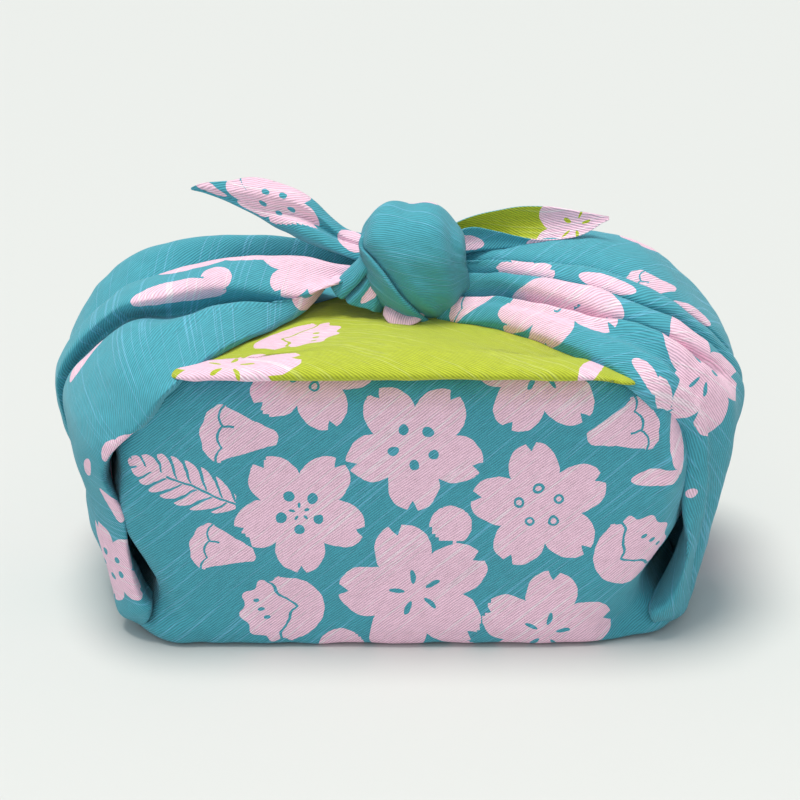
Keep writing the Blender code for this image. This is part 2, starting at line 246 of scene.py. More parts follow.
RIGHT_FOLDS = {
    "inner edge": (
        (-11.5, -6), (-16, -6.5), (-21, -7), (-44, -8), (-54, -10.5), (-56, -14),
        (-44, -18), (-40, -17), (-36, -9.5), (-34, -6.5), (-36, -7.5), (-40, -10), (-40, -9),
    ),
    "front edge": (
        (-12, -4), (-17, -4.5), (-22, -3.5), (-45, -4), (-55, -6.5), (-57, -10.5),
        (-50, -15.5), (-50, -14.5), (-47.5, -10.5), (-48, -6.5), (-51, -5.5), (-53, -9.5), (-52, -8),
    ),
    "front roll": (
        (-11, -1), (-14.5, -1), (-19.5, 0), (-39.5, 0), (-49, -0.2), (-52, -1.8),
        (-50.5, -8.5), (-50, -7), (-45.5, -3.5), (-43, -2.3), (-43.5, 1), (-44, 1.5), (-43, 0.5),
    ),
    "roll groove": (
        (-10.2, 0), (-13, 0), (-17.2, 1.2), (-36, 0.8), (-43.5, -0.5), (-46.5, -2.8),
        (-45, -7.5), (-45.3, -6.2), (-41, -2.8), (-39.5, -2.4), (-38.3, 1.4), (-37.5, 3.5), (-37, 2),
    ),
    "low ridge": (
        (-9, 1), (-11, 1), (-15, 2.8), (-32, 3.2), (-37, 4.6), (-40, 4),
        (-38, 2), (-38, 1.5), (-36, 2.5), (-35, 1.8), (-34, 4.4), (-34, 5), (-34, 2.2),
    ),
    "crease": (
        (-8, -3), (-9, -5), (-9.5, -5.5), (-24.5, -6), (-30, -4.5), (-31.5, -1.5),
        (-28, 4), (-28, 4), (-27, 4), (-26.5, 3.8), (-26, 6.4), (-26, 5), (-26, 1),
    ),
    "lip": (
        (-7, 3), (-8.5, 5), (-11, 6), (-28, 5.2), (-33, 4), (-33.5, 4.2),
        (-25, 5.5), (-24, 5), (-22, 5), (-21.5, 4.8), (-21, 6.9), (-20.5, 5.3), (-20, 1),
    ),
    "front ridge": (
        (-5, 7), (-7, 8), (-9, 8.5), (-21.5, 9), (-26.5, 7.5), (-27, 6.5),
        (-21, 7), (-20, 6), (-18, 5.5), (-17, 4.8), (-16, 7.4), (-15.5, 5.5), (-15, 1),
    ),
    "groove": (
        (-3, 6.5), (-4.5, 5.5), (-6.5, 3.5), (-15, -2.5), (-22, -2), (-23.5, 0),
        (-17.5, 4.6), (-16, 5.8), (-14, 5.4), (-13, 4.8), (-12, 7.2), (-11.5, 5.4), (-11, 1),
    ),
    "middle flank": (
        (-2, 9), (-4, 9), (-6.5, 9), (-18.5, 8), (-24.5, 8), (-22, 7.4),
        (-14, 6.8), (-13, 6.8), (-11, 5.8), (-10.5, 5.3), (-10, 7.6), (-9.8, 5.6), (-9.5, 1),
    ),
    "middle ridge": (
        (-1, 11), (-3, 11), (-5, 11.5), (-11, 11.5), (-17, 10.5), (-17, 8.5),
        (-12, 7.6), (-11, 7), (-9, 6), (-8.5, 5.8), (-8, 7.9), (-8, 5.7), (-8, 1),
    ),
    "valley": (
        (4, 4.5), (4.5, 1.5), (4.5, -1), (-1.5, -2), (-5, -1.5), (-6.5, 0.5),
        (-3.5, 4.5), (-5, 6), (-4, 5), (-4, 4.8), (-4, 6.9), (-4, 5.3), (-4, 1),
    ),
    "hump foot": (
        (7, 8), (5.5, 8.5), (3, 9), (-4.5, 8.5), (-9.5, 8), (-9.5, 6.8),
        (0, 7), (2, 6.5), (2, 5.2), (2, 4.8), (2, 6.7), (2, 5.1), (2, 1),
    ),
    "back hump": (
        (10, 10), (11.5, 11), (13, 11.5), (12, 14), (10.5, 13.6), (9, 9.6),
        (10, 7.6), (12, 7), (12, 5.5), (12, 4.8), (12, 6.9), (12, 5.3), (12, 1),
    ),
    "back panel": (
        (12, 5), (16, 5.5), (20, 6), (30, 9), (34, 8), (36, 6),
        (36, 4), (36, 2), (36, 1.5), (35, 0.2), (34, 1.2), (33, 1), (32, 0),
    ),
    "back edge": (
        (10, -3), (16.5, -3.5), (23, -4), (43, -6), (50, -9), (57, -14),
        (57, -19), (55, -13), (52, -14), (51, -11), (50, -8.5), (48, -4.8), (46, -1),
    ),
}
# how the back edge of a side turns in under itself: share of the way back to the next fold,
# and how far beneath the cloth
EDGE_TURNS = ((0.1, 1.0), (0.5, 1.6))
# least height of a side over the floor
FLOOR_GAP = 0.5

# the band round the knot: a barrel about an axis from left to right
KNOT_CENTRE = (5.0, -3.0, 113.5)
KNOT_RADII = (17.8, 16.4, 20.6)
# how far it leans to the left at the top, and how square its shoulders are
KNOT_LEAN = 0.13
KNOT_SQUARENESS = 0.1
# a knot face's side as a share of the grid's pitch
KNOT_FINENESS = 0.6
# stations round the barrel: angle up from the front, in degrees
KNOT_STATIONS = (-105.0, -70.0, -42.0, -14.0, 14.0, 44.0, 90.0, 140.0, 200.0, 255.0)
# the folds of the band, left to right: angle from the left end of the barrel and rise in
# millimetres, at each of the stations
KNOT_FOLDS = {
    "left rim": (
        (4, -4), (4, -4), (4, -4), (4, -3), (4, -3),
        (4, -3), (4, -3), (4, -3), (4, -3), (4, -4),
    ),
    "left side": (
        (26, -1), (28, -0.8), (28, -0.5), (22, -0.3), (15, -0.2),
        (10, -0.3), (14, -0.5), (18, 0), (20, 0), (24, -1),
    ),
    "lip": (
        (70, -0.2), (68, 0), (60, 0.3), (45, 0.5), (30, 0.6),
        (18, 0.3), (20, 0), (30, 0), (34, 0), (50, -0.6),
    ),
    "lip edge": (
        (104, 0.6), (100, 0.9), (88, 1.2), (68, 1.3), (46, 1.2),
        (26, 0.8), (30, 0.2), (42, 0), (48, 0), (70, 0),
    ),
    "lip turn": (
        (105, 0), (101.5, 0.2), (90, 0.3), (70, 0.4), (48, 0.4),
        (27.5, 0.3), (34, 0.2), (46, 0), (54, 0), (76, 0),
    ),
    "tuck": (
        (102, -0.8), (97, -1), (85, -1.2), (65, -1.3), (43.5, -1.2),
        (26, -0.8), (42, 0.2), (54, 0), (62, 0), (82, 0),
    ),
    "band": (
        (110, -0.4), (106, -0.5), (95, -0.5), (77, -0.4), (56, -0.3),
        (37, 0.1), (54, 0.6), (66, 0), (76, 0), (90, 0),
    ),
    "front": (
        (117, 0.2), (114, 0.3), (104, 0.4), (90, 0.5), (74, 0.6),
        (57, 0.9), (68, 0.5), (82, 0), (90, 0), (100, 0),
    ),
    "dent": (
        (124, 0), (122, 0), (114, 0), (104, -0.2), (97, -0.6),
        (92, -1), (91, -1.8), (94, -0.6), (102, 0), (110, 0),
    ),
    "right bump": (
        (132, 0.2), (130, 0.4), (126, 0.5), (122, 0.5), (120, 0.6),
        (116, 0.8), (115, 0.4), (116, 0), (120, 0), (124, 0),
    ),
    "right fold": (
        (143, -0.8), (142, -0.8), (142, -0.4), (142, -0.3), (140, -0.5),
        (136, -0.6), (138, 0), (138, 0), (140, 0), (140, -0.8),
    ),
    "right side": (
        (155, 0.6), (154, 0.4), (156, 0.3), (158, 0), (156, 0.2),
        (152, 0.2), (156, 0), (156, 0), (156, 0), (154, 0),
    ),
    "right rim": (
        (176, -4), (176, -4), (176, -3), (176, -3), (176, -3),
        (176, -3), (176, -3), (176, -3), (176, -3), (176, -4),
    ),
}

# the strand that fans out from under the left of the knot: fold lines from top to bottom,
# each from inside the knot out to the cloth's folded foot
LEFT_STRAND = {
    "back": ((-4, 0, 119), (-10, 0, 117), (-17, -1, 110.5), (-22, -3, 106)),
    "roll top": ((-3, -5, 120), (-9.5, -6, 118.5), (-16, -7, 112.8), (-22.6, -7, 106)),
    "roll": ((-3, -8, 118), (-9, -9.5, 116), (-15, -9.6, 110), (-21, -8.6, 104)),
    "roll foot": ((-3, -9, 116), (-8.5, -9.8, 114.4), (-14, -9.8, 108.2), (-19.4, -9, 102.8)),
    "groove": ((-3, -7, 115), (-8, -7.2, 113), (-13.6, -6.8, 107), (-18, -6.8, 102)),
    "fan ridge": ((-3, -9, 113.5), (-8, -10.2, 112), (-12.5, -10.8, 106), (-16.8, -10.4, 101.4)),
    "fan dip": ((-2, -10, 111), (-7.5, -10.4, 110), (-10.8, -10.8, 105), (-13.8, -10.8, 100.4)),
    "fan end": ((-1, -11, 110), (-7, -11.4, 108.6), (-8.6, -12.4, 104.4), (-10.6, -12.2, 100.2)),
    "sliver": ((0, -11, 109), (-6.5, -12, 107.4), (-7.4, -13, 103), (-8.6, -12.8, 99.4)),
    "under": ((0, -8, 107), (-5, -9, 105), (-5, -10, 101), (-6, -10, 98)),
}
# the small end of cloth that looks out under the front of the knot
FRONT_STRAND = {
    "left": ((-2, -9, 103), (-5, -13, 101.2), (-5.5, -15, 99.2)),
    "ridge": ((0, -11, 102), (-3, -16.5, 100), (-3.6, -18.4, 97.8)),
    "middle": ((3, -11, 101), (1, -17.4, 99), (0.5, -19.4, 96.8)),
    "end": ((6, -11, 101), (5.5, -16.4, 99.6), (5.8, -18, 97.8)),
    "under": ((8, -8, 101), (8.5, -12, 99.6), (8.5, -13, 98.4)),
}

# the two free ends, from inside the knot out to the tip: edge and fold lines, from top to
# bottom on the left end and from back to front on the right end
LEFT_END = {
    "top edge": (
        (-6, 4, 119.5), (-18, 9, 120.5), (-32, 12.5, 131.5), (-47, 14, 136.4),
        (-57, 12.5, 135.6), (-65, 11, 135.2), (-68.2, 10.8, 134),
    ),
    "leaf": (
        (-6, 1, 117.5), (-18, 5, 119), (-32, 7.5, 129), (-47, 9.5, 132.5),
        (-57, 10.5, 133.2), (-65, 10.5, 134.3), (-68.3, 10.8, 133.8),
    ),
    "crease": (
        (-6, 0, 115.5), (-18, 5, 117.5), (-32, 8.5, 125), (-45, 10, 126.8),
        (-55, 10.8, 129.8), (-64.6, 10.8, 133.1), (-68.4, 10.8, 133.5),
    ),
    "roll": (
        (-6, -2, 114), (-18, 1.5, 116.8), (-32, 4.6, 123.6), (-43.5, 8.4, 125.2),
        (-54.5, 10.4, 128.8), (-64.3, 10.7, 132.7), (-68.4, 10.8, 133.3),
    ),
    "roll front": (
        (-6, -3, 111), (-18, 0, 114.2), (-32, 3.4, 120), (-42.5, 8, 123),
        (-53.8, 10.4, 127.9), (-64, 10.8, 132.3), (-68.4, 10.9, 133.2),
    ),
    "bottom": (
        (-6, 1, 109), (-18, 4, 112.5), (-32, 7.5, 116.6), (-42, 10.5, 121),
        (-53.5, 10.9, 127.4), (-63.8, 11, 132.1), (-68.4, 11, 133.1),
    ),
    "under": (
        (-6, 4, 111), (-18, 8, 114.5), (-32, 10.5, 119), (-41.5, 12, 123.4),
        (-53.3, 11.4, 127.7), (-63.6, 11.2, 132.3), (-68.4, 11.1, 133.2),
    ),
}
RIGHT_END = {
    "top edge": (
        (12, 8, 120), (23.7, 13, 123.4), (38, 15, 125.9), (48.7, 14.5, 126.3),
        (58.5, 12.5, 125.2), (68.7, 12, 123.6),
    ),
    "back wall": (
        (12, 8, 117), (23.7, 13.5, 120.5), (38, 15.6, 121.5), (48.7, 14.8, 121.6),
        (58.5, 12.3, 122.2), (68.8, 11.9, 123.3),
    ),
    "back foot": (
        (12, 7, 113), (23.7, 12.5, 116.5), (38, 14, 117.5), (48.7, 13, 118.2),
        (58.5, 11.6, 120), (68.8, 11.8, 123.1),
    ),
    "bottom": (
        (12, 4, 110), (23, 9.5, 113.2), (36, 10.8, 114.1), (48.7, 10.5, 115.3),
        (58.3, 10.6, 118.2), (68.8, 11.7, 122.9),
    ),
    "lobe": (
        (12, 0, 111), (22.5, 4, 114), (34.5, 6.8, 114.3), (46, 8.6, 115),
        (58.1, 10.1, 117.5), (68.8, 11.6, 122.8),
    ),
    "hollow": (
        (12, 1, 114), (22.5, 5.5, 117.6), (33.5, 7.4, 116.8), (44.5, 8.6, 115.9),
        (58, 9.9, 117.3), (68.8, 11.6, 122.7),
    ),
    "crest": (
        (12, 1, 118), (22.5, 5.2, 121.8), (33, 7, 119.6), (43.5, 8.2, 116.8),
        (57.9, 9.7, 117.1), (68.8, 11.6, 122.7),
    ),
}

# small wrinkles: the lengths of their waves, and how far a wave wanders from straight
WRINKLE_LENGTHS = (34.0, 23.0, 15.0, 11.0, 8.0)
WRINKLE_WANDER = 3.0
WAVES_PER_LENGTH = 3
# how a folded sheet's threads are laid flat: rows that are worked out, rounds, and how
# firmly each point is held at its first place
THREAD_ROWS = 26
THREAD_ROUNDS = 15
THREAD_HOLD = 0.001
# least step between two guide points
LEAST_STEP = 0.4

# the print's motifs: their number in the print's coordinates, and their half size along
# and across as a share of their radius
NO_MOTIF, DOTTED, SPECKLED, RINGED, DASHED, PLAIN, BUD, OPEN_BUD, LEAF, SPOT, STREAK = range(11)
MOTIF_REACH = {
    NO_MOTIF: (1.0, 0.35), BUD: (1.0, 0.8), OPEN_BUD: (1.0, 0.9), LEAF: (1.0, 0.45), STREAK: (1.0, 0.4),
}
# how far past its own size a motif may claim a face, and the step between two motifs in
# the print's coordinates
MOTIF_CLAIM = 1.3
KIND_STEP = 10.0

# the print on the front and, past 200 either way, on the back
# columns: motif, distance from the front's middle to the right, height, radius, turn in
# degrees
FRONT_PRINT = (
    (RINGED, -28.5, 97.0, 20.5, 3.0),
    (DASHED, 43.5, 96.0, 21.0, 25.0),
    (DOTTED, 4.5, 71.5, 21.5, 53.0),
    (SPECKLED, -31.5, 49.0, 21.0, 54.0),
    (RINGED, 44.0, 51.0, 21.5, 27.0),
    (DASHED, 5.0, 20.5, 24.5, 33.0),
    (DASHED, 47.0, 6.0, 22.0, 12.0),
    (BUD, -50.0, 75.0, 12.5, -6.0),
    (BUD, -56.0, 36.0, 11.0, -12.0),
    (BUD, 69.5, 77.0, 12.0, 197.0),
    (OPEN_BUD, -38.0, 14.5, 15.0, 10.0),
    (OPEN_BUD, 74.5, 35.5, 15.0, 215.0),
    (LEAF, -68.0, 59.0, 19.0, -24.0),
    (SPOT, 16.0, 44.5, 6.7, 0.0),
    (SPOT, -19.0, 0.0, 7.5, 0.0),
    (STREAK, 88.6, 72.0, 10.5, -86.0),
    (STREAK, 81.0, 61.2, 8.5, 10.0),
    (SPOT, 20.0, -1.0, 4.5, 0.0),
    (DOTTED, 222.0, 46.0, 21.0, 10.0),
    (RINGED, 263.0, 66.0, 21.0, 40.0),
    (DASHED, 256.0, 18.0, 21.0, 0.0),
    (BUD, 230.0, 80.0, 12.0, 100.0),
    (LEAF, 216.0, 14.0, 18.0, 30.0),
    (RINGED, -222.0, 26.0, 21.0, 20.0),
    (DASHED, -252.0, 58.0, 22.0, 50.0),
    (OPEN_BUD, -216.0, 70.0, 14.0, 130.0),
    (SPOT, -256.0, 22.0, 6.5, 0.0),
)
# the print on the two sides
# columns: motif, distance from the knot, distance towards the back from the side's middle
# fold, radius, turn in degrees
LEFT_PRINT = (
    (PLAIN, 18.5, -3.5, 16.0, 20.0),
    (SPOT, 18.5, -29.0, 5.5, 0.0),
    (SPOT, 48.5, -10.5, 5.0, 0.0),
    (STREAK, 62.0, -14.5, 16.0, 3.0),
    (STREAK, 57.0, 1.0, 12.0, 4.0),
    (STREAK, 37.0, 1.5, 12.0, 0.0),
    (STREAK, 46.0, 18.5, 7.0, -5.0),
    (STREAK, 103.0, -30.0, 9.5, -20.0),
    (STREAK, 113.0, -71.5, 8.0, 22.0),
    (STREAK, 122.0, -66.5, 7.0, 22.0),
    (STREAK, 134.0, -53.0, 5.0, 40.0),
    (STREAK, 149.0, -51.0, 7.0, 10.0),
    (DOTTED, 174.0, -41.0, 15.5, 20.0),
    (RINGED, 70.0, 62.0, 21.0, 10.0),
    (DOTTED, 120.0, 58.0, 21.0, 40.0),
    (DASHED, 165.0, 30.0, 21.0, 15.0),
)
RIGHT_PRINT = (
    (BUD, 13.5, -30.0, 9.5, -30.0),
    (RINGED, 43.0, -47.0, 21.0, 36.0),
    (STREAK, 38.0, -50.0, 19.0, -22.0),
    (STREAK, 45.0, -27.0, 20.0, -14.0),
    (PLAIN, 30.0, -2.0, 10.5, 30.0),
    (STREAK, 57.5, 2.5, 9.5, 0.0),
    (BUD, 74.0, 35.5, 9.5, -8.0),
    (STREAK, 43.5, 32.5, 9.0, 5.0),
    (STREAK, 90.0, 23.0, 11.0, -15.0),
    (DASHED, 98.0, -32.5, 25.5, -19.0),
    (STREAK, 76.0, -66.0, 8.0, 16.0),
    (STREAK, 87.0, -61.0, 9.5, 24.0),
    (SPOT, 145.0, -44.0, 2.0, 0.0),
    (RINGED, 78.0, 84.0, 21.0, 30.0),
    (DASHED, 128.0, 60.0, 21.0, 0.0),
    (DOTTED, 170.0, 20.0, 21.0, 50.0),
)
# on the turned flap the places are distance along its edge and distance back from it, on
# the knot and the ends distance from their first station and across from their middle fold
FLAP_PRINT = (
    (DASHED, -55.0, 6.0, 22.0, 10.0),
    (OPEN_BUD, -37.0, 43.0, 17.0, 160.0),
    (STREAK, 56.5, 5.0, 9.0, 68.0),
)
KNOT_PRINT = ((STREAK, 72.0, 10.0, 6.5, 118.0),)
STRAND_PRINT = ((STREAK, 12.0, 3.4, 5.5, 0.0),)
TIP_PRINT = ((SPOT, 3.0, 0.0, 12.0, 0.0),)
LEFT_END_PRINT = (
    (DOTTED, 36.0, -6.5, 13.5, 20.0),
    (NO_MOTIF, 28.0, 6.0, 22.0, 0.0),
    (SPOT, 47.5, -7.0, 5.0, 0.0),
    (STREAK, 60.0, -2.5, 6.0, 0.0),
    (STREAK, 45.0, -1.0, 6.0, 0.0),
    (SPOT, 10.5, -4.0, 5.0, 0.0),
)
RIGHT_END_PRINT = (
    (DASHED, 48.0, -3.0, 15.0, 10.0),
    (STREAK, 12.0, 9.0, 7.0, -15.0),
)

# the weave's uneven threads, in waves a metre along and across them
FIBRE_WAVES = (260.0, 1900.0)
SLUB_WAVES = (14.0, 1050.0)
# where in that unevenness a slub starts and where it is full
SLUB_RANGE = (0.61, 0.7)
# the drift of the ribs from straight: waves a metre, and how far as a share of their pitch
DRIFT_WAVES, DRIFT = 120.0, 0.9
# the unevenness of the print's edges: waves in one radius, and how far
WOBBLE_WAVES, WOBBLE = 2.6, 0.09

# the studio: places and widths in metres, but the camera's sensor in millimetres
FLOOR_WIDTH = 8.0
LAMP_DIRECTION = (0.13, -0.02, -0.99)
FRONT_LAMP_PLACE = (-0.25, -1.5, 0.75)
FRONT_LAMP_AIM = (0.0, 0.0, 0.05)
FRONT_LAMP_WIDTH = 1.1
SENSOR_WIDTH = 36.0


def srgb(red, green, blue):
    """A screen colour, 0 to 255 a channel, as linear light."""
    channels = (red / 255.0, green / 255.0, blue / 255.0)
    return tuple(c / 12.92 if c <= 0.04045 else ((c + 0.055) / 1.055) ** 2.4 for c in channels)


class FuroshikiCloth(bpy.types.PropertyGroup):
    """The cotton: its sheet, its threads and its colours."""

    thickness: bpy.props.FloatProperty(
        name="Thickness", description="Thickness of the cotton", default=0.35 * MM, unit="LENGTH"
    )
    pitch: bpy.props.FloatProperty(
        name="Grid pitch", description="Side of one face of a sheet", default=1.2 * MM, unit="LENGTH"
    )
    ripple: bpy.props.FloatProperty(
        name="Ripple", description="Height of the small wrinkles", default=0.35 * MM, unit="LENGTH"
    )
    rib_pitch: bpy.props.FloatProperty(
        name="Rib pitch", description="Distance from rib to rib", default=0.74 * MM, unit="LENGTH"
    )
    rib_height: bpy.props.FloatProperty(
        name="Rib height", description="Height of the woven ribs", default=0.2 * MM, unit="LENGTH"
    )
    # the ribs' painted highlight and the grooves' painted shade, laid into the colour over the bump's relief
    rib_contrast: bpy.props.FloatProperty(
        name="Rib contrast", description="How much lighter a rib is than a groove",
        default=0.44, subtype="FACTOR",
    )
    groove_shade: bpy.props.FloatProperty(
        name="Groove shade", description="Shade of the grooves between the ribs",
        default=0.74, subtype="FACTOR",
    )
    fibre_contrast: bpy.props.FloatProperty(
        name="Fibre contrast", description="How uneven the threads' colour is",
        default=0.4, subtype="FACTOR",
    )
    slub_strength: bpy.props.FloatProperty(
        name="Slub strength", description="How clearly the thick threads show",
        default=0.7, subtype="FACTOR",
    )
    teal: bpy.props.FloatVectorProperty(
        name="Teal", description="Ground colour outside", default=srgb(70, 163, 180), subtype="COLOR"
    )
    lime: bpy.props.FloatVectorProperty(
        name="Lime", description="Ground colour inside", default=srgb(182, 194, 43), subtype="COLOR"
    )
    pink: bpy.props.FloatVectorProperty(
        name="Pink", description="Colour of the blossoms", default=srgb(248, 205, 225), subtype="COLOR"
    )
    teal_slub: bpy.props.FloatVectorProperty(
        name="Teal slub", description="Thick threads in the teal",
        default=srgb(104, 186, 214), subtype="COLOR",
    )
    lime_slub: bpy.props.FloatVectorProperty(
        name="Lime slub", description="Thick threads in the lime",
        default=srgb(200, 211, 92), subtype="COLOR",
    )
    pink_slub: bpy.props.FloatVectorProperty(
        name="Pink slub", description="Thick threads in the pink",
        default=srgb(248, 232, 240), subtype="COLOR",
    )


class FuroshikiStudio(bpy.types.PropertyGroup):
    """The studio: floor, lights and camera."""

    floor: bpy.props.FloatVectorProperty(
        name="Floor", description="Colour of the floor", default=srgb(208, 210, 208), subtype="COLOR"
    )
    floor_mottle: bpy.props.FloatVectorProperty(
        name="Floor mottle", description="Colour of the floor's faint mottling",
        default=srgb(212, 214, 212), subtype="COLOR",
    )
    sky: bpy.props.FloatProperty(
        name="Fill light", description="Strength of the light from all round", default=0.55
    )
    sky_colour: bpy.props.FloatVectorProperty(
        name="Fill colour", description="Colour of the light from all round",
        default=srgb(238, 246, 252), subtype="COLOR",
    )
    lamp: bpy.props.FloatProperty(
        name="Lamp", description="Strength of the soft light from above on the left", default=2.7
    )
    lamp_colour: bpy.props.FloatVectorProperty(
        name="Lamp colour", description="Colour of the light from above",
        default=(1.0, 0.97, 0.91), subtype="COLOR",
    )
    softness: bpy.props.FloatProperty(
        name="Softness", description="Angle over which the light from above spreads",
        default=math.radians(25.0), subtype="ANGLE",
    )
    front_lamp: bpy.props.FloatProperty(
        name="Front lamp", description="Power of the weak lamp in front", default=3.0, unit="POWER"
    )
    elevation: bpy.props.FloatProperty(
        name="Elevation", description="Angle at which the camera looks down",
        default=math.radians(23.0), subtype="ANGLE",
    )
    distance: bpy.props.FloatProperty(
        name="Distance", description="From the camera to the wrap", default=0.8, unit="LENGTH"
    )
    aim: bpy.props.FloatProperty(
        name="Aim", description="Height at which the camera looks", default=0.063, unit="LENGTH"
    )
    lens: bpy.props.FloatProperty(
        name="Lens", description="Focal length in millimetres", default=107.64
    )


class Wire:
    """One output of a material's node, on which Python's operators add Math nodes."""

    def __init__(self, shader, socket):
        self.shader = shader
        self.socket = socket

    def math(self, operation, *others):
        """A Math node on this output and the others."""
        return self.shader.node("ShaderNodeMath", {"operation": operation}, [self, *others])

    def __add__(self, other):
        return self.math("ADD", other)

    def __sub__(self, other):
        return self.math("SUBTRACT", other)

    def __mul__(self, other):
        return self.math("MULTIPLY", other)

    def __truediv__(self, other):
        return self.math("DIVIDE", other)

    def __pow__(self, other):
        return self.math("POWER", other)

    def __radd__(self, other):
        return self.math("ADD", other)

    def __rsub__(self, other):
        return self.shader.node("ShaderNodeMath", {"operation": "SUBTRACT"}, [other, self])

    def __rmul__(self, other):
        return self.math("MULTIPLY", other)

    def __neg__(self):
        return self.math("MULTIPLY", -1.0)

    def __abs__(self):
        return self.math("ABSOLUTE")

    def __lt__(self, other):
        return self.math("LESS_THAN", other)

    def __gt__(self, other):
        return self.math("GREATER_THAN", other)

    def __mod__(self, other):
        return self.math("FLOORED_MODULO", other)

    def __or__(self, other):
        return self.math("MAXIMUM", other)


class Shader:
    """A material's node tree, to which one method adds every node."""

    def __init__(self, name):
        self.material = bpy.data.materials.new(name)
        self.material.use_nodes = True
        self.tree = self.material.node_tree
        self.principled = self.tree.nodes["Principled BSDF"]

    def node(self, kind, settings, inputs, output=0):
        """Adds a node, sets it, fills its sockets and gives its output."""
        node = self.tree.nodes.new(kind)
        for name, value in settings.items():
            setattr(node, name, value)
        pairs = inputs.items() if isinstance(inputs, dict) else enumerate(inputs)
        for key, value in pairs:
            self.fill(node.inputs[key], value)
        if isinstance(output, tuple):
            return tuple(Wire(self, node.outputs[key]) for key in output)
        return Wire(self, node.outputs[output])

    def fill(self, socket, value):
        """Links a wire to a socket, or sets its value."""
        if isinstance(value, Wire):
            self.tree.links.new(value.socket, socket)
        else:
            socket.default_value = value

    def finish(self, inputs):
        """Fills the sockets of the Principled BSDF."""
        for name, value in inputs.items():
            self.fill(self.principled.inputs[name], value)

    def mix(self, factor, first, second):
        """A colour between two colours, each a wire or four numbers."""
        settings = {"data_type": "RGBA"}
        return self.node("ShaderNodeMix", settings, {0: factor, 6: first, 7: second}, 2)

    def noise(self, x, y, scale, detail=2.0):
        """Soft noise over two coordinates, about 0.5."""
        place = self.node("ShaderNodeCombineXYZ", {}, [x, y, 0.0])
        settings = {"noise_dimensions": "2D"}
        return self.node("ShaderNodeTexNoise", settings, {"Vector": place, "Scale": scale, "Detail": detail})

    def ramp(self, value, low, high):
        """0 below low, 1 above high and smooth between them."""
        settings = {"interpolation_type": "SMOOTHSTEP"}
        inputs = {"Value": value, "From Min": low, "From Max": high}
        return self.node("ShaderNodeMapRange", settings, inputs)

    def uv(self, name):
        """The two coordinates of a named UV map."""
        place = self.node("ShaderNodeUVMap", {"uv_map": name}, {})
        return self.node("ShaderNodeSeparateXYZ", {}, [place], ("X", "Y"))


def radius_of(x, y):
    """Distance of a point from the motif's middle."""
    return (x * x + y * y).math("SQRT")


def is_kind(kind, number):
    """1 where the nearest motif has this number."""
    return kind.math("COMPARE", float(number), 0.1)


def fold_fifths(x, y, turn):
    """The point seen from the nearest of five spokes: along the spoke, and beside it."""
    fifth = math.pi / 5
    angle = (y.math("ARCTAN2", x) + turn).math("WRAP", fifth, -fifth)
    reach = radius_of(x, y)
    return reach * angle.math("COSINE"), reach * angle.math("SINE")


def inside_ellipse(along, beside, centre, half_length, half_width):
    """1 inside an ellipse whose centre lies on the spoke."""
    return radius_of((along - centre) / half_length, beside / half_width) < 1.0


def blossom(x, y):
    """Five petals with a notch in each tip."""
    along, beside = fold_fifths(x, y, 0.0)
    side = abs(beside)
    petal = inside_ellipse(along, side, centre=0.61, half_length=0.41, half_width=0.375)
    notch = along > side * 1.6 + 0.88
    heart = radius_of(x, y) < 0.4
    return (petal * (1.0 - notch)) | heart


def stamens(kind, x, y):
    """The marks left bare round a blossom's heart: dots, rings or dashes."""
    along, beside = fold_fifths(x, y, 0.06)
    spot = radius_of(along - 0.3, beside)
    dots = spot < 0.08
    rings = dots * (spot > 0.042)
    dashes = inside_ellipse(along, beside, centre=0.25, half_length=0.1, half_width=0.036)
    inner, inner_side = fold_fifths(x, y, 0.5)
    specks = inside_ellipse(inner, inner_side, centre=0.12, half_length=0.045, half_width=0.024)
    dotted = is_kind(kind, DOTTED) | is_kind(kind, SPECKLED)
    return (
        dotted * dots
        | is_kind(kind, SPECKLED) * specks
        | is_kind(kind, RINGED) * rings
        | is_kind(kind, DASHED) * dashes
    )


def bud(x, y):
    """A closed bud, narrowing to the right; the second value is its line work."""
    side = abs(y)
    body = (x > -0.5) * (side < 0.54 - x * 0.4) * (x < 0.98 - side * side * 1.6)
    sepals = (x < -0.4) * inside_ellipse(x, side, -0.4, 0.58 + (y * 12.0).math("COSINE") * 0.03, 0.76)
    scallops = -0.42 - abs((y * 5.6 - 1.1).math("SINE")) * 0.13
    line = abs(x - scallops) < 0.032
    cleft = (abs(y - 0.2 - x * 0.06) < 0.026) * (x > -0.42) * (x < -0.14)
    return body | sepals, line | cleft


def open_bud(x, y):
    """A half-open bud with its stamens showing; the second value is its line work."""
    side = abs(y)
    angle = y.math("ARCTAN2", -x)
    lobes = (radius_of(x, y * 1.15) < 0.87 + (angle * 11.0).math("COSINE") * 0.06) * (x < 0.1)
    petal = inside_ellipse(x, side, -0.05, 0.98, 0.78) * (x > 0.0)
    fold = abs(x - (0.34 - side * 1.05 + side * side * 0.5) - (y * 14.0).math("SINE") * 0.03) < 0.032
    dashes = inside_ellipse(x + y * 0.35, ((y + 3.12) % 0.22) - 0.11, -0.4, 0.07, 0.045)
    return lobes | petal, fold | dashes * (side < 0.33)


def leaf(x, y):
    """A feathered leaf; the second value is the gaps between its leaflets."""
    side = abs(y)
    width = ((1.0 - x * x) | 0.0) ** 0.6 * 0.37
    leaflet = 0.27
    place = (x + side * 0.9 + (y > 0.0) * 0.12 + 10.0) % leaflet
    gaps = (place < side * 0.13 + 0.035) * (side > 0.03)
    tips = ((place * (math.pi / leaflet)).math("SINE") * 0.5) ** 0.6
    return side < width * (tips * 0.45 + 0.8), gaps | (side < 0.02) * (x > -0.3)


